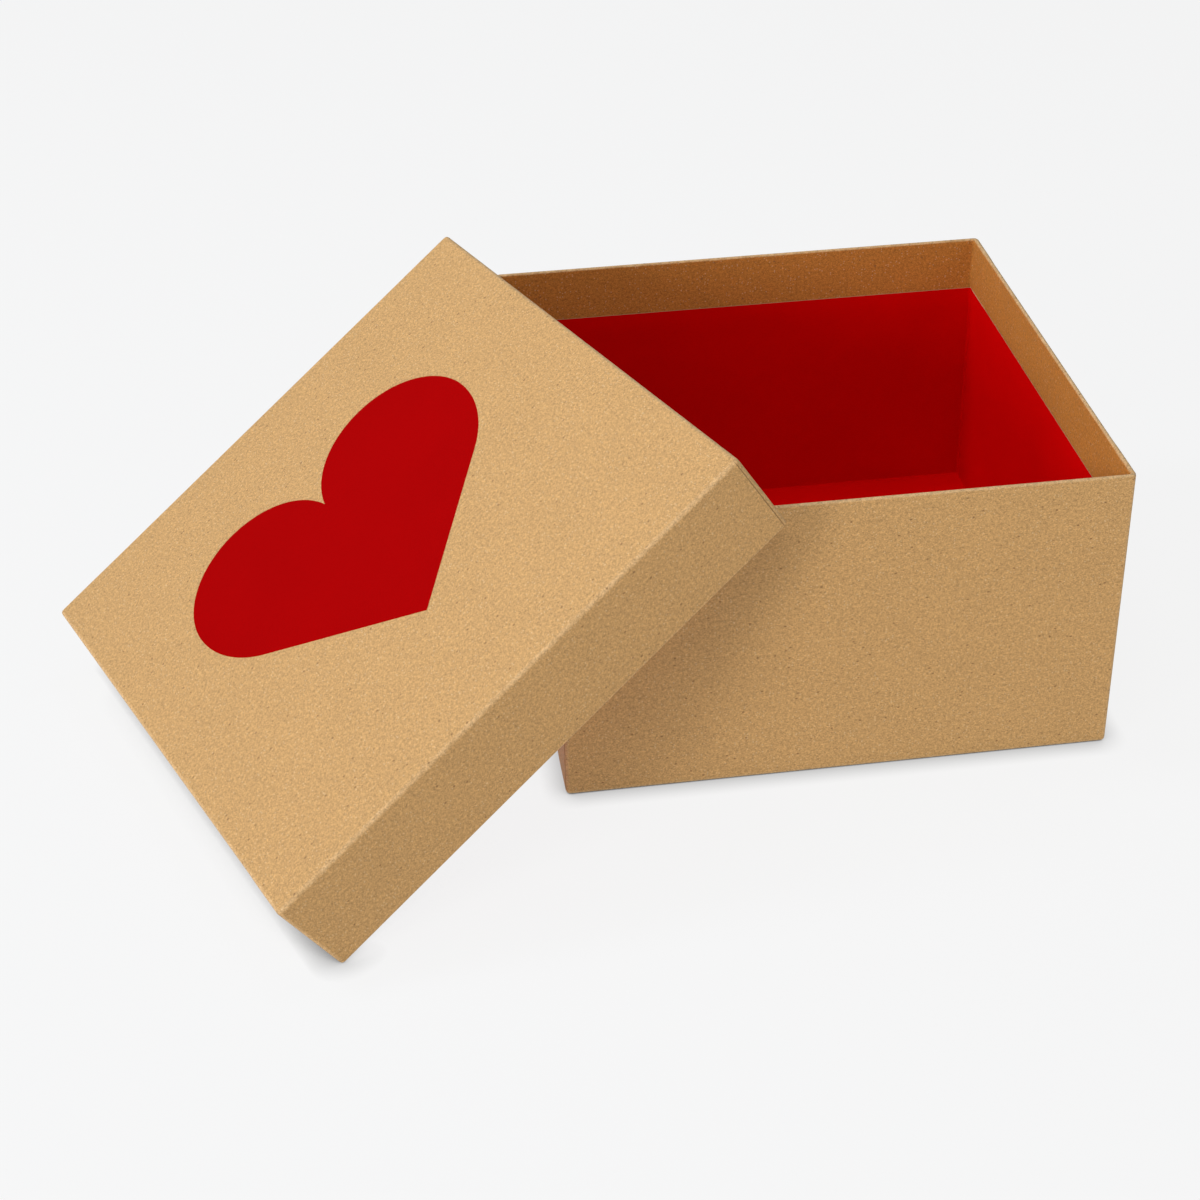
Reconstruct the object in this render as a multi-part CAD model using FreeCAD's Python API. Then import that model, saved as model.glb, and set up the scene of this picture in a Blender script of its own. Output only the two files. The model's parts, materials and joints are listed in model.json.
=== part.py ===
import FreeCAD, Part
import math
import os

# Two-piece rigid gift box: a square open base and a lift-off lid with a printed heart.
# Millimetres, +Z up. The origin is the centre of the base's underside, the base's front
# face looks along -Y, and the lid leans on the base's front left rim corner.
# Each half is a folded greyboard tray with taped corners, covered by a glued paper wrap
# that turns in over the rim, and lined by a second sheet glued inside.

# ---- driving dimensions ----
BASE_SIDE = 180.0          # outside, over the paper
BASE_HEIGHT = 101.5
LID_SIDE = 186.0
LID_HEIGHT = 33.0

BOARD = 1.3                # greyboard
PAPER = 0.2                # wrapping paper
LINING = 0.15              # lining paper
TAPE = 0.12                # corner tape
INK = 0.03                 # printed film

CORNER_RADIUS = 1.4        # upright corners, seen from above
FOLD_RADIUS = 1.5          # fold between the panel and the walls
RIM_RADIUS = 0.85          # half the wall, so the rim is a full round
BOARD_TOP_RADIUS = 0.6     # softened cut edge of the board
LEAST_RADIUS = 0.4         # smallest inside corner of a folded sheet

BASE_BAND = 19.5           # wrap seen inside the base, above the lining
LID_BAND = 12.0            # the same inside the lid
LINING_LAP = 4.5           # lining glued over the end of the turned-in wrap

BUTT_GAP = 0.2             # between two board walls at a corner
TAPE_LEG = 14.0            # tape on each wall, from the corner
TAPE_MARGIN = 3.0          # bare board above and below the tape

HEART_LOBE_RADIUS = 29.8
HEART_LOBE_X = 29.1        # lobe centre, from the heart's own axis
HEART_LOBE_Y = 24.2        # lobe centre, from the lid's centre line
HEART_FLANK_RADIUS = 36.5  # wider round below each lobe
HEART_TIP_Y = -43.4
HEART_SHIFT_X = -2.0       # the print sits a little off centre

LID_YAW = 22.0             # degrees, about +Z
LID_FOOT = (-200.4, -73.7)  # middle of the lid's lower rim, where it stands
LEAN_GAP = 0.3             # air between the base's rim corner and the lid's lining

WALL = BOARD + 2 * PAPER
LID_ROOF = PAPER + BOARD + PAPER + LINING
LONG = 1000.0              # longer than anything in the model
PAST = 1.0                 # how far a cutting block runs past what it cuts
ROUND_GAP = 0.01           # flat left between the rim's two rounds, so that both can be made
SAME = 1e-6                # numbers nearer than this are the same
TILT_RANGE = (20.0, 50.0)  # degrees, where the lid's slope is looked for
HALVINGS = 60              # of that range


def block(side, bottom, top, corner_radius=0.0):
    """Square block on the Z axis, with its four upright edges rounded."""
    half = side / 2
    shape = Part.makeBox(side, side, top - bottom, FreeCAD.Vector(-half, -half, bottom))
    if corner_radius > 0:
        upright = [edge for edge in shape.Edges if is_upright(edge)]
        shape = shape.makeFillet(corner_radius, upright)
    return shape


def is_upright(edge):
    start, end = edge.Vertexes[0].Point, edge.Vertexes[-1].Point
    return abs(start.x - end.x) < SAME and abs(start.y - end.y) < SAME


def edges_at(shape, height):
    """Edges that lie wholly in the plane at this height."""
    return [
        edge
        for edge in shape.Edges
        if all(abs(vertex.Point.z - height) < SAME for vertex in edge.Vertexes)
    ]


def folded_tray(side, height):
    """The board's outline with rounded folds and softened top edges, before any cuts."""
    top = height - PAPER
    board_side = side - 2 * PAPER
    corner = CORNER_RADIUS - PAPER
    body = block(board_side, PAPER, top, corner)
    body = body.makeFillet(FOLD_RADIUS - PAPER, edges_at(body, PAPER))
    hollow = block(board_side - 2 * BOARD, PAPER + BOARD, top + PAST, LEAST_RADIUS)
    shell = body.cut(hollow)
    return shell.makeFillet(BOARD_TOP_RADIUS, edges_at(shell, top))


def butt_gaps(side, height):
    """Narrow gaps where each side wall butts against the front and back walls."""
    outer = side / 2 - PAPER
    inner = outer - BOARD
    gaps = []
    for x_sign in (-1, 1):
        for y_sign in (-1, 1):
            low_x = min(x_sign * inner, x_sign * (outer + PAST))
            low_y = min(y_sign * inner, y_sign * (inner - BUTT_GAP))
            corner = FreeCAD.Vector(low_x, low_y, PAPER + BOARD)
            gaps.append(Part.makeBox(BOARD + PAST, BUTT_GAP, height, corner))
    return gaps


def corner_tapes(side, height, back):
    """Four L-shaped tapes pressed flush into the outside of the board's corners.

    back is the sign of Y on the side that is named back.
    """
    board_side = side - 2 * PAPER
    corner = CORNER_RADIUS - PAPER
    low = PAPER + FOLD_RADIUS + TAPE_MARGIN
    high = height - PAPER - TAPE_MARGIN
    sleeve = block(board_side, low, high, corner)
    core = block(board_side - 2 * TAPE, low - PAST, high + PAST, corner - TAPE)
    sleeve = sleeve.cut(core)
    tapes = {}
    for y_name, y_sign in (("front", -back), ("back", back)):
        for x_name, x_sign in (("left", -1), ("right", 1)):
            reach = side / 2 - TAPE_LEG
            low_x = min(x_sign * reach, x_sign * LONG)
            low_y = min(y_sign * reach, y_sign * LONG)
            keep = Part.makeBox(
                LONG - reach, LONG - reach, LONG, FreeCAD.Vector(low_x, low_y, 0)
            )
            tapes[y_name + "_" + x_name] = sleeve.common(keep)
    return tapes


def board(side, height, tapes):
    """Greyboard tray, one blank folded up, with butted corners under the tapes."""
    shape = folded_tray(side, height)
    return shape.cut(butt_gaps(side, height) + list(tapes.values()))


def wrap(side, height, band):
    """Outer paper: panel, four walls, the round rim and the turn-in inside."""
    body = block(side, 0, height, CORNER_RADIUS)
    body = body.makeFillet(FOLD_RADIUS, edges_at(body, 0))
    inner_side = side - 2 * WALL
    turn_in_end = height - band - LINING_LAP
    mouth = block(inner_side, turn_in_end - PAST, height + PAST, LEAST_RADIUS)
    body = body.cut(mouth)
    body = body.makeFillet(RIM_RADIUS - ROUND_GAP, edges_at(body, height))
    below = block(inner_side + 2 * PAPER, PAPER + BOARD, turn_in_end, LEAST_RADIUS)
    return body.cut([folded_tray(side, height), below])


def lining(side, height, band):
    """Inner sheet: panel and four walls, stepping over the end of the turned-in wrap."""
    wide = side - 2 * (PAPER + BOARD)
    narrow = wide - 2 * PAPER
    floor = PAPER + BOARD
    step = height - band - LINING_LAP
    top = height - band
    outside = block(wide, floor, step, LEAST_RADIUS)
    outside = outside.fuse(block(narrow, floor, top, LEAST_RADIUS))
    bottom = floor + LINING
    inside = block(wide - 2 * LINING, bottom, step - LINING, LEAST_RADIUS)
    inside = inside.fuse(block(narrow - 2 * LINING, bottom, top + PAST, LEAST_RADIUS))
    return outside.cut(inside)


def heart_outline():
    """Closed wire in the lid's plane: two round lobes, two wider flanks and two straight sides."""
    up = FreeCAD.Vector(0, 0, 1)
    lobe_r, flank_r = HEART_LOBE_RADIUS, HEART_FLANK_RADIUS
    widest = HEART_LOBE_X + lobe_r
    flank_x = widest - flank_r
    notch_y = HEART_LOBE_Y + math.sqrt(lobe_r**2 - HEART_LOBE_X**2)
    # the straight side runs from the tip and touches the flank's circle
    drop = HEART_LOBE_Y - HEART_TIP_Y
    reach = math.hypot(flank_x, drop)
    lean = math.atan2(drop, flank_x) - math.asin(flank_r / reach)
    run = math.sqrt(reach**2 - flank_r**2)
    touch = FreeCAD.Vector(run * math.cos(lean), HEART_TIP_Y + run * math.sin(lean), 0)

    def arc(centre_x, radius, start, end):
        circle = Part.Circle(FreeCAD.Vector(centre_x, HEART_LOBE_Y, 0), up, radius)
        return Part.Arc(circle, start, end).toShape()

    notch_angle = math.atan2(notch_y - HEART_LOBE_Y, -HEART_LOBE_X)
    touch_angle = math.atan2(touch.y - HEART_LOBE_Y, touch.x - flank_x)
    tip = FreeCAD.Vector(0, HEART_TIP_Y, 0)
    right = [
        arc(HEART_LOBE_X, lobe_r, 0, notch_angle),
        arc(flank_x, flank_r, touch_angle, 0),
        Part.LineSegment(tip, touch).toShape(),
    ]
    middle = FreeCAD.Vector(0, 0, 0)
    left = [edge.mirror(middle, FreeCAD.Vector(1, 0, 0)) for edge in right]
    return Part.Wire(Part.__sortEdges__(right + left))


def heart_print():
    """Ink film on the lid's top face, in the lid's own frame."""
    film = Part.Face(heart_outline()).extrude(FreeCAD.Vector(0, 0, INK))
    film.translate(FreeCAD.Vector(HEART_SHIFT_X, 0, 0))
    return film


def box_half(name, side, height, band, back):
    """All the pieces of one half, in its own frame, with its panel down."""
    tapes = corner_tapes(side, height, back)
    pieces = {
        name + "_board": board(side, height, tapes),
        name + "_wrap": wrap(side, height, band),
        name + "_lining": lining(side, height, band),
    }
    for place, shape in tapes.items():
        pieces[name + "_corner_tape_" + place] = shape
    return pieces


def rim_drop(angle):
    """How far a sloping round rim lets the lid down, against a sharp one."""
    return RIM_RADIUS * (math.sin(angle) + math.cos(angle) - 1)


def lid_tilt():
    """Slope of the leaning lid, in degrees, that leaves LEAN_GAP over the base's rim corner."""
    corner = -BASE_SIDE / 2 + CORNER_RADIUS
    yaw = math.radians(LID_YAW)
    along = (corner - LID_FOOT[0]) * math.cos(yaw) + (corner - LID_FOOT[1]) * math.sin(yaw)
    # the rim's round is centred nearer the foot than the corner's own round
    across = along - (CORNER_RADIUS - RIM_RADIUS)
    height = BASE_HEIGHT - RIM_RADIUS
    need = LEAN_GAP + RIM_RADIUS + LID_ROOF - LID_HEIGHT

    def gap_error(angle):
        rise = (height + rim_drop(angle)) * math.cos(angle)
        return across * math.sin(angle) - rise - need

    low, high = (math.radians(degrees) for degrees in TILT_RANGE)
    for _ in range(HALVINGS):
        middle = (low + high) / 2
        if gap_error(middle) > 0:
            high = middle
        else:
            low = middle
    return math.degrees((low + high) / 2)


def lid_placement():
    """From the lid's frame (origin in its top face, top up) to where it leans."""
    tilt = lid_tilt()
    turn = FreeCAD.Rotation(FreeCAD.Vector(0, 0, 1), LID_YAW)
    slope = FreeCAD.Rotation(FreeCAD.Vector(0, 1, 0), -tilt)
    pose = turn.multiply(slope)
    foot = FreeCAD.Vector(LID_FOOT[0], LID_FOOT[1], -rim_drop(math.radians(tilt)))
    centre = foot + pose.multVec(FreeCAD.Vector(LID_SIDE / 2, 0, LID_HEIGHT))
    return FreeCAD.Placement(centre, pose)


def main():
    os.makedirs("parts", exist_ok=True)
    pieces = box_half("base", BASE_SIDE, BASE_HEIGHT, BASE_BAND, back=1)

    # the lid is turned over about X, so its back is at -Y until then
    lid = box_half("lid", LID_SIDE, LID_HEIGHT, LID_BAND, back=-1)
    upside_down = FreeCAD.Placement(
        FreeCAD.Vector(0, 0, 0), FreeCAD.Rotation(FreeCAD.Vector(1, 0, 0), 180)
    )
    for shape in lid.values():
        shape.Placement = upside_down.multiply(shape.Placement)
    lid["lid_heart_print"] = heart_print()
    leaning = lid_placement()
    for name, shape in lid.items():
        shape.Placement = leaning.multiply(shape.Placement)
        pieces[name] = shape

    for name, shape in pieces.items():
        assert shape.isValid() and len(shape.Solids) == 1, name
        shape.Solids[0].exportStep("parts/" + name + ".step")
        print(name, round(shape.Volume, 1), "mm3")
    lid_up = leaning.Rotation.multVec(FreeCAD.Vector(0, 0, 1))
    print("lid tilt", round(lid_tilt(), 3), "degrees; axis", lid_up)


main()
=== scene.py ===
import json
import math

import bmesh
import bpy
from mathutils import Matrix, Vector


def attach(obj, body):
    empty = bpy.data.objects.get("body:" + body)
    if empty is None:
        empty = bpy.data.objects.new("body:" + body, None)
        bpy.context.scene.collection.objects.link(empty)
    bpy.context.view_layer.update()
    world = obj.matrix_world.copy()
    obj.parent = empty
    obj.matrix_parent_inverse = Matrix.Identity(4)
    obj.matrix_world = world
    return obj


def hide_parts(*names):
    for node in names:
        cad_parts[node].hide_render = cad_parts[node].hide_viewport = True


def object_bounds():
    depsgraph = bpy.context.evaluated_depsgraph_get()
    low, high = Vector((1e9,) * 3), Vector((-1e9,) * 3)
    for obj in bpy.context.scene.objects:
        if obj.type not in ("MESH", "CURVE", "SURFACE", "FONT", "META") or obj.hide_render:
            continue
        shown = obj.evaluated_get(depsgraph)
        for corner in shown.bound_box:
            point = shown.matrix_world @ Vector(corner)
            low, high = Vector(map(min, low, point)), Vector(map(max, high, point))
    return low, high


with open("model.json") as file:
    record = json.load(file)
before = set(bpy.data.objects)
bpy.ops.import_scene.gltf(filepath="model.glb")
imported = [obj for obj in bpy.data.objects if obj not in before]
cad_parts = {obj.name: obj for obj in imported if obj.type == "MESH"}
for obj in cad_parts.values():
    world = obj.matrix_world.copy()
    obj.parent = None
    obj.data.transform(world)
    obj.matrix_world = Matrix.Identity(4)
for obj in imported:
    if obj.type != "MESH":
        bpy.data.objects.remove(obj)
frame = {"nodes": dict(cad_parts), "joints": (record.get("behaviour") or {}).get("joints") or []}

# A two-piece rigid gift box. The frame gives both halves' places and sizes. Each half is
# built here in its own frame, with its panel down and its mouth up, as glued paper sheets:
# an outer kraft wrap that turns in over the rim, a red lining, and a printed heart.
# The greyboard trays and the corner tapes inside the paper stay as the frame has them.

CAD_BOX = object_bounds()
MM = 0.001

# ---- paper and folds, in metres ----
WRAP_SKIN = 0.19 * MM       # from the wrap's outer face to its hidden one
LINING_SKIN = 0.14 * MM     # the same for the lining
STEP = 0.13 * MM            # one layer of paper stands this far above the tab beside it
WALL = 1.7 * MM             # board with paper on both faces
BOARD_IN = 1.65 * MM        # the lining's face, from the outside, below the turned-in wrap
LAP_STEP = 0.2 * MM         # how far the lining stands in where it laps over the wrap
LAP = 4.5 * MM
LAP_SLOPE = 10 * MM         # below the lap the lining leans back to the board this gently
LAP_SLOPE_STEPS = 8
LINING_SEAM = 2.0 * MM      # from the lining's inside corner to its paper's edge
LINING_SEAM_WIDTH = 0.25 * MM
CORNER = 1.4 * MM           # upright corners, seen from above
FOLD = 1.5 * MM             # fold between the panel and a wall
RIM = WALL / 2
BRIDGE = 0.9 * MM           # folded paper rounds the rim's inside corners this much
BRIDGE_FROM = 0.2 * MM      # above the lining's top edge, where that round begins
BRIDGE_TO = 5 * MM          # and where it is full
TIGHT = 0.45 * MM           # inside corners of the lining
FOLD_WEAR_AND_HIGHLIGHT = 0.7             # wear and painted highlight along the crease round the panel
LINING_FOLD = 0.6 * MM      # between the lining's floor and its walls

# ---- columns round a half ----
MARGIN = 4.0 * MM           # straight columns end this far from the corner
SEAM_FAR = 1.72 * MM        # edge of the paper that laps over a tab, from the corner
SEAM_NEAR = 1.48 * MM
TAB = 16 * MM               # a tab reaches this far under it
TAB_SLOPE = 8 * MM          # and the paper over it settles on the board in this distance
LIP = 0.05 * MM             # width of a step's slanted side
GAP_LEVEL = 1.25            # depth of the gap beside the lapping edge, in steps
SLIT_TOP = 0.45 * MM        # below the rim: the short slit where a tab is folded away
SLIT_BOTTOM = 0.8 * MM
SLIT_REACH = 0.9            # it starts this far from MARGIN's end to the corner's round
SLIT_TURN = 0.9             # and ends this far round the corner, in radians
SPACING = 3.6 * MM
CORNER_STEPS = 8
RIM_STEPS = 14
FOLD_STEPS = 8
LINING_FOLD_STEPS = 5

# ---- mesh ----
WELD = 0.002 * MM
SLIVER = 0.001 * MM
SHARP = math.radians(35)

# ---- printed heart, in the lid's own frame ----
INK = 0.03 * MM
LOBE_RADIUS = 29.8 * MM
LOBE_X = 29.1 * MM          # the right lobe's middle
LOBE_Y = 24.2 * MM
FLANK_RADIUS = 36.5 * MM    # rounder stretch between a lobe and the straight side
TIP_Y = -43.4 * MM
SHIFT_X = -2.0 * MM         # the print is this far off the lid's middle
STRAIGHT_STEPS = 30
FLANK_STEPS = 30
LOBE_STEPS = 90
RING_SHARES = (1.0, 0.99, 0.93, 0.8, 0.6, 0.35, 0.1)
RING_DROP = 8 * MM          # the rings close in on a point this far below the lobes' middles

# ---- camera: in front of the base, above it and to its left ----
CAMERA_PLACE = (-0.15700, -0.69204, 0.46611)
CAMERA_TURN = (57.1347, 0.9922, -8.1397)    # degrees
CAMERA_LENS = 70.815                        # millimetres
CAMERA_SENSOR = 36                          # millimetres

# ---- studio: a sweep in metres, and lamps ----
SWEEP_REACH = 12.0
SWEEP_BEND = 2.5
SWEEP_HEIGHT = 3.5
SWEEP_BEND_STEPS = 12
SWEEP_STEPS = 96            # round the upright axis
SWEEP_DROP = 0.02 * MM      # below the object, so that the two never share a face
SWEEP_GLOW = 0.875
SWEEP_ALBEDO = 0.05
# The sweep's glow is dimmed by ambient occlusion: a painted contact shadow and a painted shadow
# under the lid.
CONTACT_REACH = 8 * MM      # the glow fades in gaps narrower than this
CONTACT_LEAST = 0.3         # share of the glow that is left at the very contact
COVER_REACH = 90 * MM       # and it fades under anything that hangs nearer than this
COVER_DARK = 0.12           # openness at which only COVER_LEAST of the glow is left
COVER_CLEAR = 0.34          # openness from which all of it is
COVER_LEAST = 0.05
WHITE = (1.0, 1.0, 1.0)
COOL = (0.79, 0.87, 1.0)
LAMPS = (       # name, place from the object's middle, width of the square lamp, watts, colour
    ("key_front_left", (-1.3, -1.0, 0.6), 0.35, 10.0, WHITE),
    ("key_top_left", (-1.0, 0.2, 1.2), 0.35, 10.9, COOL),
    ("left", (-1.2, -0.45, 0.8), 0.35, 1.6, WHITE),
    ("back_left", (-1.2, 1.1, 1.0), 1.0, 3.5, COOL),
    ("fill_front", (-0.15, -0.6, 0.85), 0.3, 2.3, WHITE),
    ("fill_front_left", (-0.9, -0.9, 1.0), 0.6, 1.9, WHITE),
    ("fill_front_right", (0.9, -0.9, 0.8), 0.6, 2.5, WHITE),
    ("above", (0.0, 0.05, 0.55), 0.15, 0.63, COOL),
)


# ================= the two halves' own frames =================

def lid_axes():
    """The leaning lid's own axes: along its slope, across it, and out of its panel."""
    up = Vector(frame["joints"][0]["axis"]).normalized()
    across = Vector((up.y, -up.x, 0)).normalized()
    return across.cross(up), across, up


def extent(node, axes):
    """(lowest, highest) of a CAD node along each of three axes."""
    points = [vertex.co for vertex in frame["nodes"][node].data.vertices]
    spans = []
    for axis in axes:
        reach = [point.dot(axis) for point in points]
        spans.append((min(reach), max(reach)))
    return spans


class Half:
    """Sizes of one half, how its paper laps at the corners, and where it goes.

    mouth_sign is 1 if the mouth looks along the third axis, and -1 if it looks the other way.
    grain_offset keeps the two halves' papers from showing the same speckle.
    """

    def __init__(self, name, axes, mouth_sign, over_first, grain_offset):
        self.name = name
        self.over_first = over_first
        self.grain_offset = grain_offset
        wrap = extent(name + "_wrap", axes)
        lining = extent(name + "_lining", axes)
        self.side = wrap[0][1] - wrap[0][0]
        self.height = wrap[2][1] - wrap[2][0]
        mouth = 1 if mouth_sign > 0 else 0
        self.band = abs(wrap[2][mouth] - lining[2][mouth])
        centre = sum((axis * (low + high) / 2
                      for axis, (low, high) in zip(axes[:2], wrap[:2])), Vector())
        origin = centre + axes[2] * wrap[2][1 - mouth]
        columns = [axes[0], axes[1] * mouth_sign, axes[2] * mouth_sign]
        self.place = Matrix.Translation(origin) @ Matrix(columns).transposed().to_4x4()


WORLD_AXES = (Vector((1, 0, 0)), Vector((0, 1, 0)), Vector((0, 0, 1)))
FRONT, RIGHT, BACK, LEFT = range(4)
# A corner is named by its first side, seen from the mouth. At a corner in over_first that
# side's paper laps over the next side's tab, and at the others the next side's paper does.
BASE = Half("base", WORLD_AXES, 1, (RIGHT, LEFT), 0.0)
LID = Half("lid", lid_axes(), -1, (FRONT,), 7.3)

OUTWARD = (Vector((0, -1, 0)), Vector((1, 0, 0)), Vector((0, 1, 0)), Vector((-1, 0, 0)))
ALONG = (Vector((1, 0, 0)), Vector((0, 1, 0)), Vector((-1, 0, 0)), Vector((0, -1, 0)))


# ================= columns and rows of a folded sheet =================

class Column:
    """One upright line of a sheet's mesh.

    It lies at fixed + reach * (start of the corner's round - fixed) along its side, then
    turns by angle round the corner. level counts how many steps it lies under the top
    paper, dark is how much of a gap shows there, darkened partly as the paper's raw edge and
    partly as painted shade, and owner is the side that the paper comes from.
    """

    def __init__(self, side, fixed, reach=0.0, angle=0.0, level=0.0, dark=0.0, owner=None):
        self.side = side
        self.fixed = fixed
        self.reach = reach
        self.angle = angle
        self.level = level
        self.dark = dark
        self.owner = side if owner is None else owner

    def along(self, start):
        sign = 1 if self.fixed > 0 else -1
        return self.fixed + self.reach * (sign * start - self.fixed)

    def spot(self, row, half_side):
        """(point, outward direction) in plan."""
        across = half_side - row.inset
        start = across - row.corner
        along = self.along(start) + row.corner * math.sin(self.angle)
        depth = across - row.corner * (1 - math.cos(self.angle))
        out, run = OUTWARD[self.side], ALONG[self.side]
        return out * depth + run * along, out * math.cos(self.angle) + run * math.sin(self.angle)

    def on_sheet(self, row, half_side):
        """The same point on the flat sheet before it was folded."""
        start = half_side - row.inset - row.corner
        quarter = row.corner * math.pi / 2
        along = self.along(start)
        if self.owner == self.side:
            flat = along + row.corner * self.angle
        elif self.owner == (self.side + 1) % 4:
            flat = -(start + quarter - row.corner * self.angle + (start - along))
        else:
            flat = start + quarter + (start + along)
        return OUTWARD[self.owner] * row.run + ALONG[self.owner] * flat


class Row:
    """One closed line round a sheet: its place and direction in the wall's section.

    worn is the lightening along it, partly wear and partly painted
    highlight, and rubbed the wear where it rounds a corner. inside is 1 on paper that is
    turned in, which the kraft paints darker and redder as painted shade and red bounce light.
    steps and seam say how much of a lap's height and gap shows, the gap darkened partly as a
    raw edge and partly as painted shade, and slit is true where the short slit under the rim
    crosses it. run is its distance from the sheet's middle, along the paper.
    """

    def __init__(self, inset, height, out, up, corner,
                 worn=0.0, rubbed=0.6, inside=0.0, steps=1.0, seam=1.0, slit=False):
        self.inset = inset
        self.height = height
        self.out = out
        self.up = up
        self.corner = corner
        self.worn = worn
        self.rubbed = rubbed
        self.inside = inside
        self.steps = steps
        self.seam = seam
        self.slit = slit
        self.run = 0.0


def reach_to(distance, corner):
    """The reach of a column at this distance from the corner of the outline."""
    return (MARGIN - distance) / (MARGIN - corner)


def ring_of_columns(side, over_first, corner, far, near):
    """Columns round a square. over_first holds the corners whose first side laps over."""
    end = side / 2 - MARGIN
    count = max(8, round(2 * end / SPACING))
    lap = [                 # reach, level and dark
        (reach_to(far, corner), 0.0, 0.0),
        (reach_to(far - LIP, corner), GAP_LEVEL, 1.0),
        (reach_to(near, corner), GAP_LEVEL, 1.0),
        (reach_to(near - LIP, corner), 1.0, 0.0),
    ]

    def lap_columns(side_number, place, is_over, tab_side):
        """The step where one side's paper ends over a tab, or the same columns without it."""
        columns = []
        for k, (reach, level, dark) in enumerate(lap):
            owner = tab_side if k > 1 else side_number
            columns.append(Column(
                side_number, place, reach, 0.0,
                level if is_over else 1.0, dark if is_over else 0.0, owner))
        return columns

    def level_at(along, over_start, over_end):
        """How deep the paper lies: less beside a corner where it covers a tab."""
        raised = 0.0
        if over_end:
            raised += smooth(along, side / 2 - TAB - TAB_SLOPE, side / 2 - TAB)
        if over_start:
            raised += smooth(-along, side / 2 - TAB - TAB_SLOPE, side / 2 - TAB)
        return 1.0 - raised

    columns = []
    for side_number in range(4):
        following = (side_number + 1) % 4
        over_start = (side_number - 1) % 4 not in over_first
        over_end = side_number in over_first
        tab_side = following if over_end else side_number
        for k in range(count + 1):
            along = -end + 2 * end * k / count
            columns.append(Column(side_number, along, level=level_at(along, over_start, over_end)))
        columns += lap_columns(side_number, end, over_end, tab_side)
        for k in range(CORNER_STEPS + 1):
            turn = math.pi / 2 * k / CORNER_STEPS
            columns.append(Column(side_number, end, 1.0, turn, 1.0, 0.0, tab_side))
        columns += reversed(lap_columns(following, -end, not over_end, tab_side))
    return columns


def round_rows(centre_inset, centre_height, radius, start, end, count, facing=1, **looks):
    """Rows on a round of the section: 0 degrees looks outward and 90 up."""
    rows = []
    for k in range(count + 1):
        angle = math.radians(start + (end - start) * k / count)
        out, up = math.cos(angle), math.sin(angle)
        values = {name: look(angle) for name, look in looks.items()}
        rows.append(Row(
            centre_inset - radius * out, centre_height + radius * up,
            facing * out, facing * up, **values))
    return rows


def straight_heights(low, high, spacing, support):
    """Heights from low to high, with one more line this close to each end."""
    inner_low, inner_high = low + support, high - support
    count = max(1, round((inner_high - inner_low) / spacing))
    middle = [inner_low + (inner_high - inner_low) * k / count for k in range(count + 1)]
    return [low] + middle + [high]


def set_runs(rows, panel_reach):
    """Each row's distance from the sheet's centre, measured along the paper."""
    rows[-1].run = panel_reach
    for k in range(len(rows) - 2, -1, -1):
        here, there = rows[k], rows[k + 1]
        step = math.hypot(here.inset - there.inset, here.height - there.height)
        here.run = there.run + step


def smooth(value, low, high):
    """0 below low, 1 above high, and an even curve between them."""
    t = min(1.0, max(0.0, (value - low) / (high - low)))
    return t * t * (3 - 2 * t)


def wrap_rows(half):
    """The kraft wrap's section, from its end inside to the edge of the panel."""
    rim_height = half.height - RIM
    lining_top = half.height - half.band
    rows = []

    def inside_corner(height):
        share = smooth(height, lining_top + BRIDGE_FROM, lining_top + BRIDGE_TO)
        return TIGHT + (BRIDGE - TIGHT) * share

    under = straight_heights(lining_top - LAP, lining_top, spacing=2 * MM, support=0.3 * MM)
    shown = straight_heights(
        lining_top + 0.4 * MM, rim_height, spacing=1.8 * MM, support=0.3 * MM)
    # Turned-in rows are marked inside, and the kraft material paints them with shade and red
    # bounce light.
    for height in under + shown:
        rows.append(Row(
            WALL, height, -1.0, 0.0, inside_corner(height), rubbed=0.0, inside=1.0, seam=0.0))
    rows += round_rows(
        RIM, rim_height, RIM, 180, 0, RIM_STEPS,
        corner=lambda a: BRIDGE + (CORNER - BRIDGE) * (1 + math.cos(a)) / 2,
        # lightening that grows where the rim faces up: painted highlight from the top light, with
        # some wear
        worn=lambda a: max(0.0, math.sin(a)) ** 0.5,
        # inner half of the rim: painted shade and red bounce light in the kraft colour
        inside=lambda a: max(0.0, -math.cos(a)),
        seam=lambda a: 1.0 if a < math.pi / 2 else 0.0)[1:]
    for drop, cut in ((SLIT_TOP, False), (SLIT_TOP + LIP, True),
                      (SLIT_BOTTOM - LIP, True), (SLIT_BOTTOM, False)):
        rows.append(Row(0.0, rim_height - drop, 1.0, 0.0, CORNER, slit=cut))
    wall_top = rim_height - SLIT_BOTTOM - 0.3 * MM
    for height in reversed(straight_heights(FOLD, wall_top, spacing=4 * MM, support=0.35 * MM)):
        rows.append(Row(0.0, height, 1.0, 0.0, CORNER))
    rows += round_rows(
        FOLD, FOLD, FOLD, 0, -90, FOLD_STEPS,
        corner=lambda a: max(CORNER - FOLD * (1 - math.cos(a)), 0.0),
        # lightening in the middle of the crease: partly wear, partly painted highlight
        worn=lambda a: FOLD_WEAR_AND_HIGHLIGHT * abs(math.sin(2 * a)),
        steps=lambda a: math.cos(a) ** 2,
        seam=lambda a: math.cos(a) ** 2)[1:]
    set_runs(rows, half.side / 2 - FOLD)
    return rows


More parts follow.
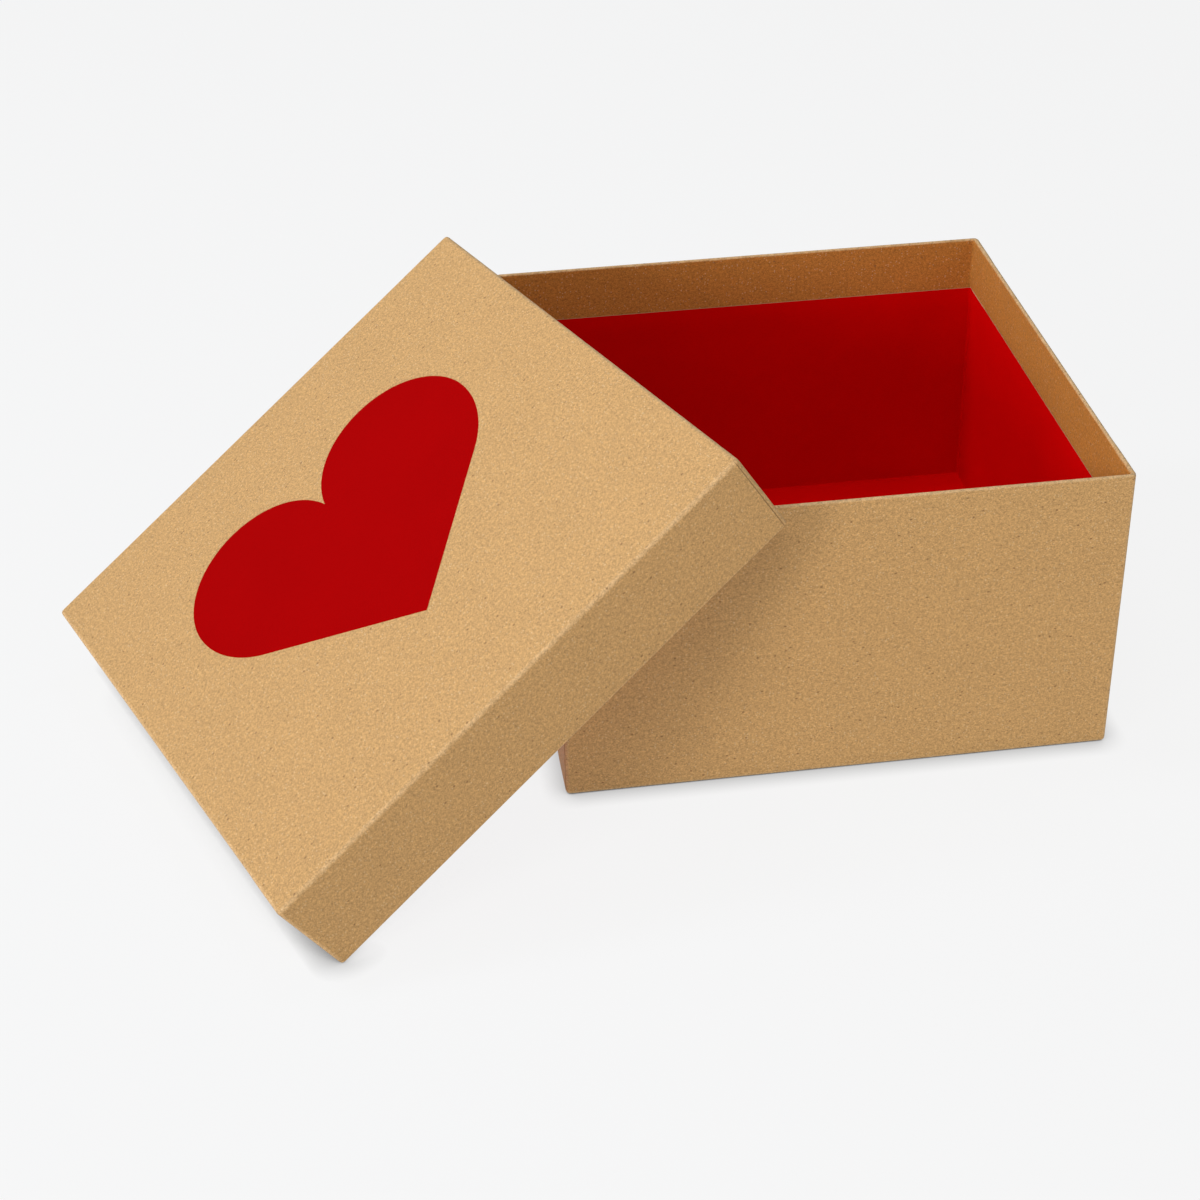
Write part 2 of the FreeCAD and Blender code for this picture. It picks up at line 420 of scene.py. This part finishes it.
def lining_rows(half):
    """The lining's section, from its top edge down to the edge of its floor."""
    top = half.height - half.band
    step = top - LAP
    rows = []
    for height in reversed(straight_heights(step, top, spacing=1.2 * MM, support=0.25 * MM)):
        rows.append(Row(BOARD_IN + LAP_STEP, height, -1.0, 0.0, TIGHT))
    rows[0].worn = 1.0          # its cut edge shows the paper's brown core
    for k in range(1, LAP_SLOPE_STEPS):
        share = k / LAP_SLOPE_STEPS
        inset = BOARD_IN + LAP_STEP * (1 - smooth(share, 0, 1))
        rows.append(Row(inset, step - LAP_SLOPE * share, -1.0, 0.0, TIGHT))
    low = BOARD_IN + LINING_FOLD
    slope_end = step - LAP_SLOPE
    for height in reversed(straight_heights(low, slope_end, spacing=5 * MM, support=0.4 * MM)):
        rows.append(Row(BOARD_IN, height, -1.0, 0.0, TIGHT))
    rows += round_rows(
        BOARD_IN + LINING_FOLD, low, LINING_FOLD, 0, -90, LINING_FOLD_STEPS, facing=-1,
        corner=lambda a: TIGHT * math.cos(a),
        steps=lambda a: math.cos(a) ** 2)[1:]
    for row in rows:
        row.rubbed = row.seam = 0.0
    set_runs(rows, half.side / 2 - BOARD_IN - LINING_FOLD)
    return rows


# ================= sheets =================

def worn_at(column, row):
    """1 on a crease, a rim or an upright corner, 0 on the flat paper: where the kraft is
    lightened, partly as wear and partly as painted highlight.
    """
    return max(row.worn, row.rubbed * abs(math.sin(2 * column.angle)) * row.steps)


def sheet_point(half, column, row, depth):
    """Point of a sheet at this depth under its top paper's face."""
    plan, out = column.spot(row, half.side / 2)
    normal = out * row.out + Vector((0, 0, row.up))
    return plan + Vector((0, 0, row.height)) - normal * depth


def add_skin(bm, layers, half, columns, rows, depth_of):
    """One face of a sheet: a closed band of quads, as a list of rows of vertices."""
    grid = []
    for row in rows:
        line = []
        for column in columns:
            vert = bm.verts.new(sheet_point(half, column, row, depth_of(column, row)))
            flat = column.on_sheet(row, half.side / 2)
            vert[layers["sheet"]] = (flat.x, flat.y, half.grain_offset)
            vert[layers["worn"]] = worn_at(column, row)
            vert[layers["inside"]] = row.inside
            # darkening of gaps and slits: partly the paper's raw edge, partly painted shade
            vert[layers["seam"]] = column.dark * row.seam + mark_at(column, row)
            line.append(vert)
        grid.append(line)
    join_lines(bm, grid)
    return grid


def join_lines(bm, grid):
    """Quads between closed lines of vertices, each line and the next."""
    for upper, lower in zip(grid, grid[1:]):
        for k in range(len(upper)):
            following = (k + 1) % len(upper)
            bm.faces.new((upper[k], upper[following], lower[following], lower[k]))


def mark_at(column, row):
    """1 in the short slit under the rim at a corner, where a tab is folded away, else 0. The slit
    is darkened like the gaps: partly raw edge, partly painted shade.
    """
    at_corner = column.reach > SLIT_REACH and column.angle < SLIT_TURN
    return 1.0 if row.slit and at_corner else 0.0


def add_panel(bm, layers, half, columns, row, depth):
    """Flat grid inside a sheet's last row, on the same upright lines."""
    across = half.side / 2 - row.inset
    places = [round(column.along(across), 9) for column in columns if column.side == FRONT]
    places = sorted({sign * place for place in places for sign in (1, -1)})
    height = row.height - row.up * depth
    grid = []
    for y in places:
        line = []
        for x in places:
            vert = bm.verts.new((x, y, height))
            vert[layers["sheet"]] = (x, y, half.grain_offset)
            line.append(vert)
        grid.append(line)
    for lower, upper in zip(grid, grid[1:]):
        for k in range(len(places) - 1):
            bm.faces.new((lower[k], lower[k + 1], upper[k + 1], upper[k]))


def finish_mesh(name, bm, place):
    """Welds and places a mesh, and makes the object."""
    bmesh.ops.remove_doubles(bm, verts=bm.verts, dist=WELD)
    bmesh.ops.dissolve_degenerate(bm, edges=bm.edges, dist=SLIVER)
    bmesh.ops.recalc_face_normals(bm, faces=bm.faces)
    bm.transform(place)
    mesh = bpy.data.meshes.new(name)
    bm.to_mesh(mesh)
    bm.free()
    for polygon in mesh.polygons:
        polygon.use_smooth = True
    mesh.set_sharp_from_angle(angle=SHARP)
    obj = bpy.data.objects.new(name, mesh)
    bpy.context.scene.collection.objects.link(obj)
    return obj


def new_sheet():
    """An empty mesh, and the vertex attributes that the materials read."""
    bm = bmesh.new()
    layers = {
        "sheet": bm.verts.layers.float_vector.new("sheet"),
        "worn": bm.verts.layers.float.new("worn"),
        "inside": bm.verts.layers.float.new("inside"),
        "seam": bm.verts.layers.float.new("seam"),
    }
    return bm, layers


def folded_sheet(name, half, columns, rows, thickness):
    """A closed mesh of a folded paper sheet: its two faces and the cut edge between them."""
    bm, layers = new_sheet()

    def top_depth(column, row):
        level = GAP_LEVEL if mark_at(column, row) else column.level
        return STEP * level * row.steps

    shown = add_skin(bm, layers, half, columns, rows, top_depth)
    hidden = add_skin(bm, layers, half, columns, rows, lambda column, row: thickness)
    join_lines(bm, [shown[0], hidden[0]])
    add_panel(bm, layers, half, columns, rows[-1], 0.0)
    add_panel(bm, layers, half, columns, rows[-1], thickness)
    return finish_mesh(name, bm, half.place)


def build_wrap(half):
    """Kraft sheet over the outside, turned in over the rim."""
    columns = ring_of_columns(half.side, half.over_first, CORNER, SEAM_FAR, SEAM_NEAR)
    return folded_sheet(half.name + "_kraft_wrap", half, columns, wrap_rows(half), WRAP_SKIN)


def build_lining(half):
    """Red sheet on the floor and the inner walls."""
    corner = BOARD_IN + TIGHT
    far = BOARD_IN + LAP_STEP + LINING_SEAM
    columns = ring_of_columns(half.side, (RIGHT, LEFT), corner, far, far - LINING_SEAM_WIDTH)
    return folded_sheet(half.name + "_red_lining", half, columns, lining_rows(half), LINING_SKIN)


# ================= heart =================

def on_circle(middle_x, radius, angle):
    """Point of a circle whose middle is level with the lobes'."""
    return Vector((middle_x, LOBE_Y)) + radius * Vector((math.cos(angle), math.sin(angle)))


def heart_outline():
    """Points round the heart: straight side, flank and lobe, then the same mirrored."""
    flank_x = LOBE_X + LOBE_RADIUS - FLANK_RADIUS
    drop = LOBE_Y - TIP_Y
    reach = math.hypot(flank_x, drop)
    lean = math.atan2(drop, flank_x) - math.asin(FLANK_RADIUS / reach)
    length = math.sqrt(reach ** 2 - FLANK_RADIUS ** 2)
    touch = Vector((length * math.cos(lean), TIP_Y + length * math.sin(lean)))
    notch = math.acos(-LOBE_X / LOBE_RADIUS)
    touch_angle = math.atan2(touch.y - LOBE_Y, touch.x - flank_x)
    tip = Vector((0, TIP_Y))
    right = [tip.lerp(touch, k / STRAIGHT_STEPS) for k in range(STRAIGHT_STEPS)]
    for k in range(FLANK_STEPS):
        angle = touch_angle * (1 - k / FLANK_STEPS)
        right.append(on_circle(flank_x, FLANK_RADIUS, angle))
    for k in range(LOBE_STEPS + 1):
        right.append(on_circle(LOBE_X, LOBE_RADIUS, notch * k / LOBE_STEPS))
    left = [Vector((-point.x, point.y)) for point in reversed(right[1:-1])]
    return right + left


def build_heart(half):
    """Ink film that follows the lid's panel: rings from the outline to its middle."""
    outline = heart_outline()
    middle = Vector((0, LOBE_Y - RING_DROP))
    bm, layers = new_sheet()
    skins = []
    for height in (-INK, 0.0):
        lines = []
        for share in RING_SHARES:
            line = []
            for point in outline:
                flat = middle + (point - middle) * share
                x, y = flat.x + SHIFT_X, -flat.y
                vert = bm.verts.new((x, y, height))
                vert[layers["sheet"]] = (x, y, half.grain_offset)
                line.append(vert)
            lines.append(line)
        join_lines(bm, lines)
        bm.faces.new(lines[-1])
        skins.append(lines)
    join_lines(bm, [skins[0][0], skins[1][0]])
    return finish_mesh("heart_ink", bm, half.place)


# ================= materials =================

class Graph:
    """A material's nodes, with short calls for the kinds that the papers use."""

    def __init__(self, name):
        self.material = bpy.data.materials.new(name)
        self.material.use_nodes = True
        self.nodes = self.material.node_tree.nodes
        self.links = self.material.node_tree.links
        self.nodes.clear()
        output = self.nodes.new("ShaderNodeOutputMaterial")
        self.shader = self.nodes.new("ShaderNodeBsdfPrincipled")
        self.links.new(self.shader.outputs["BSDF"], output.inputs["Surface"])

    def feed(self, socket, value):
        """Links a socket to another, or sets its number or colour."""
        if isinstance(value, bpy.types.NodeSocket):
            self.links.new(value, socket)
        elif socket.type == "RGBA":
            socket.default_value = (*value, 1)
        else:
            socket.default_value = value

    def attribute(self, name, output="Fac"):
        node = self.nodes.new("ShaderNodeAttribute")
        node.attribute_name = name
        return node.outputs[output]

    def place(self):
        return self.nodes.new("ShaderNodeTexCoord").outputs["Object"]

    def turned(self, vector, degrees, scale):
        node = self.nodes.new("ShaderNodeMapping")
        node.inputs["Rotation"].default_value = (0, 0, math.radians(degrees))
        node.inputs["Scale"].default_value = scale
        self.feed(node.inputs["Vector"], vector)
        return node.outputs["Vector"]

    def noise(self, vector, scale, detail=2.0, roughness=0.5):
        node = self.nodes.new("ShaderNodeTexNoise")
        self.feed(node.inputs["Vector"], vector)
        node.inputs["Scale"].default_value = scale
        node.inputs["Detail"].default_value = detail
        node.inputs["Roughness"].default_value = roughness
        return node.outputs["Fac"]

    def cells(self, vector, scale):
        """(distance to the nearest speck, that speck's random number)."""
        node = self.nodes.new("ShaderNodeTexVoronoi")
        self.feed(node.inputs["Vector"], vector)
        node.inputs["Scale"].default_value = scale
        split = self.nodes.new("ShaderNodeSeparateColor")
        self.links.new(node.outputs["Color"], split.inputs["Color"])
        return node.outputs["Distance"], split.outputs["Red"]

    def span(self, value, low, high, to_low=0.0, to_high=1.0):
        """Maps low..high onto to_low..to_high, and stops at both ends."""
        node = self.nodes.new("ShaderNodeMapRange")
        self.feed(node.inputs["Value"], value)
        node.inputs["From Min"].default_value = low
        node.inputs["From Max"].default_value = high
        node.inputs["To Min"].default_value = to_low
        node.inputs["To Max"].default_value = to_high
        return node.outputs["Result"]

    def spread(self, noise, to_low, to_high):
        """Maps the usual range of a noise onto to_low..to_high."""
        return self.span(noise, 0.3, 0.7, to_low, to_high)

    def arithmetic(self, operation, first, second):
        node = self.nodes.new("ShaderNodeMath")
        node.operation = operation
        self.feed(node.inputs[0], first)
        self.feed(node.inputs[1], second)
        return node.outputs["Value"]

    def total(self, *values):
        result = values[0]
        for value in values[1:]:
            result = self.arithmetic("ADD", result, value)
        return result

    def product(self, *values):
        result = values[0]
        for value in values[1:]:
            result = self.arithmetic("MULTIPLY", result, value)
        return result

    def blend(self, share, first, second):
        node = self.nodes.new("ShaderNodeMix")
        node.data_type = "RGBA"
        self.feed(node.inputs["Factor"], share)
        self.feed(node.inputs["A"], first)
        self.feed(node.inputs["B"], second)
        return node.outputs["Result"]

    def shade(self, colour, amount):
        """Colour times an amount round 1."""
        node = self.nodes.new("ShaderNodeVectorMath")
        node.operation = "SCALE"
        self.feed(node.inputs[0], colour)
        self.feed(node.inputs["Scale"], amount)
        return node.outputs["Vector"]

    def specks(self, vector, scale, size, share):
        """1 inside scattered specks of this size, in that share of the cells."""
        distance, chance = self.cells(vector, scale)
        inside = self.span(distance, size, size * 0.45)
        chosen = self.span(chance, share, share - 0.01)
        return self.product(inside, chosen)

    def openness(self, distance):
        """1 where nothing is nearer than this, less beside or under something."""
        node = self.nodes.new("ShaderNodeAmbientOcclusion")
        node.inputs["Distance"].default_value = distance
        return node.outputs["AO"]

    def bump(self, height, distance, strength):
        node = self.nodes.new("ShaderNodeBump")
        node.inputs["Distance"].default_value = distance
        node.inputs["Strength"].default_value = strength
        self.feed(node.inputs["Height"], height)
        self.links.new(node.outputs["Normal"], self.shader.inputs["Normal"])

    def look(self, colour, roughness, specular):
        self.feed(self.shader.inputs["Base Color"], colour)
        self.feed(self.shader.inputs["Roughness"], roughness)
        self.shader.inputs["Specular IOR Level"].default_value = specular
        return self.material


def fibres(graph, sheet, turns, length, width):
    """Short fibres that lie in several directions, round 0.5."""
    layers = [
        graph.noise(graph.turned(sheet, turn, (1 / length, 1 / width, 1)), scale=1.0, detail=1.0)
        for turn in turns
    ]
    return graph.product(graph.total(*layers), 1 / len(layers))


KRAFT = (0.50, 0.290, 0.112)
# lightened kraft for creases, rims and corners: partly wear, partly painted highlight
KRAFT_EDGE_WEAR_AND_HIGHLIGHT = (0.62, 0.41, 0.21)
# kraft of the turned-in band: painted shade and red bounce light from the lining, not another
# paper
KRAFT_INSIDE_SHADE_AND_RED_BOUNCE = (0.47, 0.188, 0.036)
# dark of the gaps beside lapping edges and of the slits: partly raw edge, partly painted shade
KRAFT_GAP_EDGE_AND_SHADE = (0.26, 0.15, 0.065)
LIGHT_FIBRE = (0.70, 0.52, 0.30)
DARK_FIBRE = (0.20, 0.10, 0.04)
RED_PAPER = (0.62, 0.0004, 0.0008)
RED_INK = (0.325, 0.0004, 0.0008)
PAPER_CORE = (0.50, 0.30, 0.17)
GREYBOARD = (0.33, 0.31, 0.28)
GREYBOARD_FLECK = (0.12, 0.11, 0.10)
TAPE_PAPER = (0.50, 0.33, 0.16)


def kraft_material():
    """Brown kraft paper: clouded pulp, fine pale and dark specks, and creases and rims lightened
    partly by wear and partly as painted highlight; the turned-in band is darkened and reddened as
    painted shade and red bounce light, and gaps are darkened partly as raw edges and partly as
    painted shade.
    """
    graph = Graph("kraft_paper")
    sheet = graph.attribute("sheet", "Vector")
    cloud = graph.noise(sheet, scale=60, detail=3.0)
    patch = graph.noise(sheet, scale=330, detail=2.0)
    grain = graph.noise(sheet, scale=950, detail=4.0, roughness=0.9)
    fine = graph.noise(graph.turned(sheet, 40, (1, 1.4, 1)), scale=1900, detail=1.0)
    amount = graph.total(
        graph.spread(cloud, 0.98, 1.02),
        graph.spread(patch, -0.04, 0.04),
        graph.span(grain, 0.34, 0.66, -0.32, 0.32),
        graph.spread(fine, -0.18, 0.18))
    # creases, rims and corners lightened: partly wear, partly painted highlight
    worn = graph.product(graph.attribute("worn"), graph.spread(patch, 0.45, 0.95))
    # turned-in paper made darker and redder: painted shade and red bounce light
    colour = graph.blend(graph.attribute("inside"), KRAFT, KRAFT_INSIDE_SHADE_AND_RED_BOUNCE)
    colour = graph.shade(graph.blend(worn, colour, KRAFT_EDGE_WEAR_AND_HIGHLIGHT), amount)
    pale = graph.specks(sheet, scale=1000, size=0.30, share=0.35)
    colour = graph.blend(graph.product(pale, 0.5), colour, LIGHT_FIBRE)
    brown = graph.specks(graph.turned(sheet, 30, (1, 1.5, 1)), scale=800, size=0.26, share=0.3)
    colour = graph.blend(graph.product(brown, 0.5), colour, DARK_FIBRE)
    dark = graph.specks(graph.turned(sheet, -52, (1, 1.5, 1)), scale=240, size=0.135, share=0.6)
    colour = graph.blend(graph.product(dark, 0.85), colour, DARK_FIBRE)
    # gaps and slits darkened: partly raw edge, partly painted shade
    colour = graph.blend(graph.attribute("seam"), colour, KRAFT_GAP_EDGE_AND_SHADE)
    relief = graph.total(graph.product(grain, 0.8), graph.product(patch, 0.5))
    graph.bump(relief, distance=0.08 * MM, strength=0.5)
    return graph.look(colour, roughness=graph.spread(patch, 0.55, 0.70), specular=0.15)


def red_material(name, base, ink_share):
    """Matt red paper or ink, with the pulp's faint fibres in it."""
    graph = Graph(name)
    sheet = graph.attribute("sheet", "Vector")
    cloud = graph.noise(sheet, scale=45, detail=2.0)
    grain = graph.noise(sheet, scale=1300, detail=2.0, roughness=0.65)
    fibre = fibres(graph, sheet, turns=(5, 62, -50), length=1.5 * MM, width=0.35 * MM)
    swing = 0.03 * ink_share
    amount = graph.total(
        graph.spread(cloud, 0.98, 1.02),
        graph.span(grain, 0.25, 0.75, -swing, swing),
        graph.span(fibre, 0.35, 0.65, -swing, swing))
    colour = graph.shade(base, amount)
    cut_edge = graph.span(graph.attribute("worn"), 0.0, 0.4)
    colour = graph.blend(cut_edge, colour, PAPER_CORE)
    relief = graph.total(fibre, graph.product(grain, 0.5))
    graph.bump(relief, distance=0.06 * MM, strength=0.35)
    return graph.look(colour, roughness=graph.span(grain, 0.2, 0.8, 0.72, 0.85), specular=0.01)


def board_material():
    """Recycled greyboard: grey pulp with light and dark flecks."""
    graph = Graph("greyboard")
    place = graph.place()
    grain = graph.noise(place, scale=900, detail=3.0, roughness=0.7)
    cloud = graph.noise(place, scale=80, detail=2.0)
    amount = graph.total(graph.span(grain, 0.2, 0.8, 0.85, 1.12), graph.spread(cloud, -0.04, 0.04))
    colour = graph.shade(GREYBOARD, amount)
    fleck = graph.specks(place, scale=500, size=0.35, share=0.15)
    colour = graph.blend(graph.product(fleck, 0.5), colour, GREYBOARD_FLECK)
    graph.bump(grain, distance=0.08 * MM, strength=0.6)
    return graph.look(colour, roughness=graph.span(grain, 0.2, 0.8, 0.8, 0.95), specular=0.2)


def tape_material():
    """Gummed paper tape: smooth brown paper with fine fibres."""
    graph = Graph("corner_tape")
    place = graph.place()
    fibre = fibres(graph, place, turns=(0, 60, -60), length=1.8 * MM, width=0.3 * MM)
    colour = graph.shade(TAPE_PAPER, graph.spread(fibre, 0.9, 1.1))
    graph.bump(fibre, distance=0.04 * MM, strength=0.5)
    return graph.look(colour, roughness=graph.spread(fibre, 0.45, 0.6), specular=0.35)


def sweep_material():
    """Pale sweep that glows by itself, with painted contact shadows: its glow dims in narrow gaps
    and under the leaning lid.
    """
    graph = Graph("sweep")
    graph.look((SWEEP_ALBEDO,) * 3, roughness=1.0, specular=0.0)
    # painted contact shadow and painted shadow under the lid, made by dimming the glow
    contact_shadow = graph.span(graph.openness(CONTACT_REACH), 0.0, 1.0, CONTACT_LEAST, 1.0)
    cover_shadow = graph.span(graph.openness(COVER_REACH), COVER_DARK, COVER_CLEAR, COVER_LEAST, 1.0)
    graph.shader.inputs["Emission Color"].default_value = (1, 1, 1, 1)
    graph.feed(graph.shader.inputs["Emission Strength"], graph.product(contact_shadow, cover_shadow, SWEEP_GLOW))
    return graph.material


# ================= putting it together =================

def dress(obj, material, body, slot, *nodes):
    """Gives a new piece its material and body, and hides the CAD nodes that it stands for. slot is
    not used.
    """
    obj.data.materials.append(material)
    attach(obj, body)
    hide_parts(*nodes)


def dress_kept_nodes():
    """Materials for the CAD nodes that stay visible: the two boards and the corner tapes."""
    board, tape = board_material(), tape_material()
    for name, node in frame["nodes"].items():
        if name.endswith("_board"):
            kept = board
        elif "_tape_" in name:
            kept = tape
        else:
            continue
        for material_slot in node.material_slots:
            material_slot.material = kept


def build_halves():
    """Both halves' papers and the lid's print."""
    kraft = kraft_material()
    lining = red_material("red_lining", RED_PAPER, 1.0)
    for half in (BASE, LID):
        dress(build_wrap(half), kraft, half.name, "kraft_paper", half.name + "_wrap")
        dress(build_lining(half), lining, half.name, "red_lining", half.name + "_lining")
    ink = red_material("red_ink", RED_INK, 0.8)
    dress(build_heart(LID), ink, "lid", "red_ink", "lid_heart_print")


def build_sweep():
    """Round floor that curves up into a low wall, turned about the upright axis."""
    floor = CAD_BOX[0].z - SWEEP_DROP
    profile = [(0.0, floor), (SWEEP_REACH - SWEEP_BEND, floor)]
    for k in range(1, SWEEP_BEND_STEPS + 1):
        angle = math.pi / 2 * k / SWEEP_BEND_STEPS
        profile.append((
            SWEEP_REACH - SWEEP_BEND * (1 - math.sin(angle)),
            floor + SWEEP_BEND * (1 - math.cos(angle))))
    profile.append((SWEEP_REACH, floor + SWEEP_HEIGHT))
    bm = bmesh.new()
    verts = [bm.verts.new((reach, 0, height)) for reach, height in profile]
    edges = [bm.edges.new(pair) for pair in zip(verts, verts[1:])]
    bmesh.ops.spin(
        bm, geom=verts + edges, cent=(0, 0, 0), axis=(0, 0, 1),
        angle=2 * math.pi, steps=SWEEP_STEPS, use_merge=True)
    bmesh.ops.remove_doubles(bm, verts=bm.verts, dist=MM)
    bmesh.ops.recalc_face_normals(bm, faces=bm.faces)
    mesh = bpy.data.meshes.new("sweep")
    bm.to_mesh(mesh)
    bm.free()
    for polygon in mesh.polygons:
        polygon.use_smooth = True
    mesh.materials.append(sweep_material())
    sweep = bpy.data.objects.new("sweep", mesh)
    bpy.context.scene.collection.objects.link(sweep)


def add_light(name, place, target, size, power, colour):
    """A square lamp that faces its target."""
    data = bpy.data.lights.new(name, "AREA")
    data.shape = "SQUARE"
    data.size = size
    data.energy = power
    data.color = colour
    light = bpy.data.objects.new(name, data)
    light.location = place
    light.rotation_mode = "QUATERNION"
    light.rotation_quaternion = (Vector(target) - Vector(place)).to_track_quat("-Z", "Y")
    bpy.context.scene.collection.objects.link(light)


def build_lights():
    """A dark sky: the lamps and the glowing sweep give all the light."""
    world = bpy.data.worlds.new("studio")
    world.use_nodes = True
    world.node_tree.nodes["Background"].inputs["Strength"].default_value = 0.0
    bpy.context.scene.world = world
    middle = (CAD_BOX[0] + CAD_BOX[1]) / 2
    for name, offset, size, power, colour in LAMPS:
        add_light(name, middle + Vector(offset), middle, size, power, colour)


def build_camera():
    """The camera, at a fixed place by the object."""
    data = bpy.data.cameras.new("camera")
    data.lens = CAMERA_LENS
    data.sensor_width = CAMERA_SENSOR
    camera = bpy.data.objects.new("camera", data)
    camera.location = CAMERA_PLACE
    camera.rotation_euler = [math.radians(angle) for angle in CAMERA_TURN]
    bpy.context.scene.collection.objects.link(camera)
    bpy.context.scene.camera = camera


bpy.context.scene.view_settings.view_transform = "Standard"
build_camera()
build_lights()
build_sweep()
build_halves()
dress_kept_nodes()
